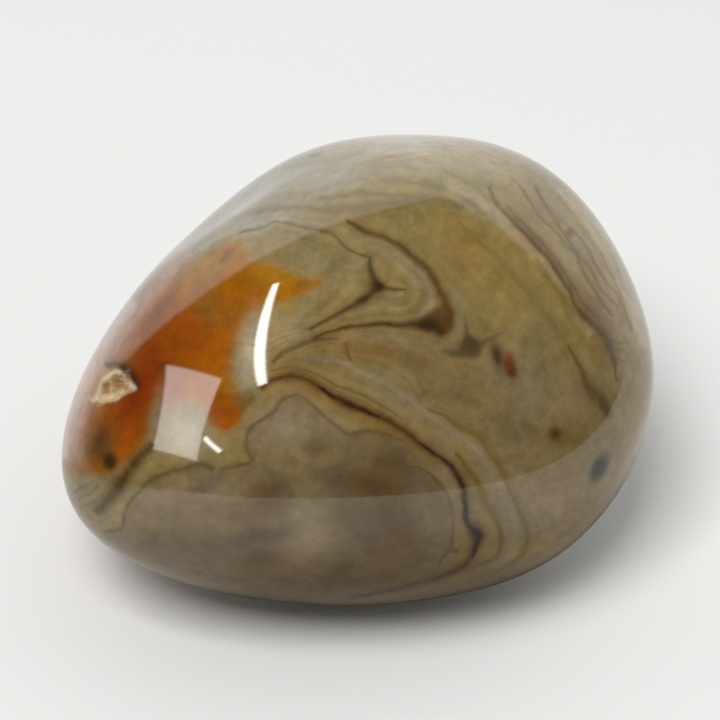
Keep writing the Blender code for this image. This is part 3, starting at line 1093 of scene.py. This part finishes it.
def mirrored_light(ray, polish):
    """How bright the studio is that the polish mirrors: the backdrops, the room and the lights."""
    backdrop = 0.0
    for middle, reach, edge in BACKDROPS:
        part = soft_between(dot(ray, middle.normalized()), reach - edge, reach + edge)
        backdrop = maths("MAXIMUM", part, backdrop)
    risen = soft_between(dot(ray, (0.0, 0.0, 1.0)), *BACKDROP_RISE)
    glow = times_plus(risen, BACKDROP_TOP_LIGHT - BACKDROP_LIGHT, BACKDROP_LIGHT - ROOM_LIGHT)
    light = times_plus(backdrop, glow, ROOM_LIGHT)
    light = times_plus(inside_glint(ray, PANEL_GLINT, PANEL_BOWS, polish), PANEL_LIGHT, light)
    light = times_plus(inside_glint(ray, STRIP_GLINT, STRIP_BOWS, polish), STRIP_LIGHT, light)
    return times_plus(inside_glint(ray, DASH_GLINT, {}, polish), DASH_LIGHT, light)


def soft_light(ray):
    behind = soft_between(dot(ray, (0.0, 1.0, 0.0)), *DOME_BACK)
    aside = soft_between(dot(ray, (1.0, 0.0, 0.0)), *DOME_SIDE)
    return times_plus(aside, DOME_SIDE_LIGHT, times_plus(behind, DOME_BACK_LIGHT, DOME_LIGHT))


def light_studio(polish):
    world = bpy.data.worlds.new("studio")
    world.use_nodes = True
    bpy.context.scene.world = world
    tree = world.node_tree
    tree.nodes.clear()
    ray = linked("TexCoord", {}, "Generated", tree)
    mirrored = linked("Background", {"Strength": mirrored_light(ray, polish)})
    soft = linked("Background", {"Color": DOME_COLOUR, "Strength": soft_light(ray)})
    glossy = linked("LightPath", {}, "Is Glossy Ray", tree)
    mixed = linked("MixShader", {0: glossy, 1: soft, 2: mirrored})
    give(tree.nodes.new("ShaderNodeOutputWorld"), {"Surface": mixed})


def hang_lamp():
    """One broad lamp that lights the stone and the table, and that the polish doesn't mirror."""
    data = bpy.data.lights.new("broad_lamp", "AREA")
    data.shape = "SQUARE"
    data.size = LAMP_WIDTH
    data.energy = LAMP_POWER
    lamp = new_aimed("broad_lamp", data, LAMP_PLACE, -LAMP_PLACE)
    lamp.visible_camera = False
    lamp.visible_glossy = False


def table_finish():
    material, tree, shader = new_material("pale_table")
    place = linked("TexCoord", {}, "Object", tree)
    away = linked("VectorMath", {0: place}, "Value", operation="LENGTH")
    towards = linked("VectorMath", {0: place}, operation="NORMALIZE")
    behind = soft_between(dot(towards, (0.0, 1.0, 0.0)), *TABLE_SIDE)
    beyond = soft_between(dot(place, TABLE_EDGE_TOWARDS), *TABLE_EDGE)
    leftwards = soft_between(dot(towards, (-1.0, 0.0, 0.0)), *TABLE_LEFT)
    faded = times(leftwards, soft_between(away, *TABLE_LEFT_FADE))
    dark = times(beyond, maths("SUBTRACT", 1.0, behind))
    dark = maths("MAXIMUM", dark, faded)
    offset = linked("VectorMath", {0: place, 1: SHADE_MIDDLE}, "Value", operation="DISTANCE")
    under = maths("SUBTRACT", 1.0, soft_between(offset, *SHADE_REACH))
    dark = maths("MAXIMUM", dark, times(under, SHADE_DEPTH))
    bright = times(behind, soft_between(away, *BACK_TABLE_RISE))
    bright = times(bright, maths("SUBTRACT", 1.0, faded))
    glossy = linked("LightPath", {}, "Is Glossy Ray", tree)
    colour = mixed_colour(times(dark, glossy), TABLE_COLOUR, FAR_TABLE_COLOUR)
    glow = times(times(bright, BACK_TABLE_GLOW), glossy)
    give(shader, {"Base Color": colour, "Roughness": 1.0, "Specular IOR Level": 0.0})
    give(shader, {"Emission Color": GLOW_COLOUR, "Emission Strength": glow})
    return material


def lay_table():
    mesh = bpy.data.meshes.new("table_top")
    half = TABLE_SIZE / 2
    corners = [(-half, -half, 0), (half, -half, 0), (half, half, 0), (-half, half, 0)]
    mesh.from_pydata(corners, [], [(0, 1, 2, 3)])
    mesh.materials.append(table_finish())
    new_object("table_top", mesh)


# The stone's finish

POLISH_ROUGHNESS = 0.04
CRUST_ROUGHNESS = 0.6
AGATE_IOR = 1.54

# The fine bands: how many there are to a level, how plain and how rough they are, and how they stray
BANDS_PER_LEVEL = 1.4
BAND_CONTRAST = 1.1
BAND_DETAIL = 4.0
BAND_ROUGHNESS = 0.62
BAND_STRAY = 0.5
BAND_STRAY_GRAIN = 330.0

# The detail of the noise, the clouds' depths and grains, and the drift between a warm and a cool tint
NOISE_DETAIL = 3.0
CLOUDS = ((0.28, 190.0), (0.60, 420.0), (0.56, 950.0), (0.28, 2600.0))
WARM_TINT = (1.09, 0.99, 0.90, 1.0)
COOL_TINT = (0.95, 1.00, 1.12, 1.0)
TINT_DRIFT = 2.2
TINT_GRAIN = 260.0

# How far the veins wobble, in pixels, and how much their strength breaks up
VEIN_WOBBLE = 2.6
VEIN_WOBBLE_GRAIN = 800.0
VEIN_BREAKS = 1.2
VEIN_BREAK_GRAIN = 500.0


def noise_value(place, per_metre):
    """Noise between -0.5 and 0.5 or so, with so many features a metre."""
    look = {"Vector": place, "Scale": per_metre, "Detail": NOISE_DETAIL}
    return maths("SUBTRACT", linked("TexNoise", look), 0.5)


def attribute(tree, name, output="Fac"):
    return linked("Attribute", {}, output, tree, attribute_name=name)


def mixed_colour(share, first, second, blend="MIX"):
    return linked("Mix", {0: share, 6: first, 7: second}, 2, data_type="RGBA", blend_type=blend)


def shade_bands(tree, place):
    """How much lighter or darker the fine bands and clouds make the ground, as a share of it."""
    stray = noise_value(place, BAND_STRAY_GRAIN)
    level = times_plus(stray, BAND_STRAY, attribute(tree, "band_level"))
    look = {"W": level, "Scale": BANDS_PER_LEVEL, "Detail": BAND_DETAIL, "Roughness": BAND_ROUGHNESS}
    bands = maths("SUBTRACT", linked("TexNoise", look, noise_dimensions="1D"), 0.5)
    shade = times_plus(bands, times(attribute(tree, "banding"), BAND_CONTRAST), 1.0)
    for depth, grain in CLOUDS:
        shade = times_plus(noise_value(place, grain), depth, shade)
    return shade


def draw_veins(tree, place, colour, layers):
    wobble = times(noise_value(place, VEIN_WOBBLE_GRAIN), VEIN_WOBBLE)
    breaks = times_plus(noise_value(place, VEIN_BREAK_GRAIN), VEIN_BREAKS, 1.0)
    for name, tone in layers:
        aside, width, strength = linked("SeparateXYZ", {0: attribute(tree, name, "Vector")}).node.outputs
        ratio = maths("DIVIDE", maths("ADD", aside, wobble), width)
        fall = maths("EXPONENT", times(times(ratio, ratio), -1.0))
        share = times(times(fall, strength), breaks)
        colour = mixed_colour(share, colour, (*linear(tone), 1.0))
    return colour


def stone_finish(layers):
    material, tree, shader = new_material("polished_agate")
    place = linked("TexCoord", {}, "Object", tree)
    drift = times_plus(noise_value(place, TINT_GRAIN), TINT_DRIFT, 0.5)
    tint = mixed_colour(drift, WARM_TINT, COOL_TINT)
    tinted = mixed_colour(1.0, attribute(tree, "ground", "Color"), tint, "MULTIPLY")
    shaded = linked("VectorMath", {0: tinted, "Scale": shade_bands(tree, place)}, operation="SCALE")
    colour = draw_veins(tree, place, shaded, layers)
    rougher = CRUST_ROUGHNESS - POLISH_ROUGHNESS
    rough = times_plus(attribute(tree, "crust"), rougher, POLISH_ROUGHNESS)
    give(shader, {"Base Color": colour, "Roughness": rough, "IOR": AGATE_IOR})
    return material


def make_stone():
    mesh, places = pebble_mesh()
    mesh.materials.append(stone_finish(mark_stone(mesh, places)))
    stone = new_object("agate_stone", mesh)
    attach(stone, "root")
    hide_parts("agate_pebble")
    return mesh, places


def polish_in_sight(mesh, places):
    """The pixels, places and outward directions of the points that face the camera."""
    outward = rows_of(mesh.vertex_normals, "vector")
    facing = np.sum(outward * (CAMERA_PLACE - places), axis=1) > 0.0
    return seen_at(places[facing]), places[facing], outward[facing]


set_up_camera()
bpy.context.scene.view_settings.view_transform = "Standard"
stone_mesh, stone_places = make_stone()
light_studio(polish_in_sight(stone_mesh, stone_places))
hang_lamp()
lay_table()
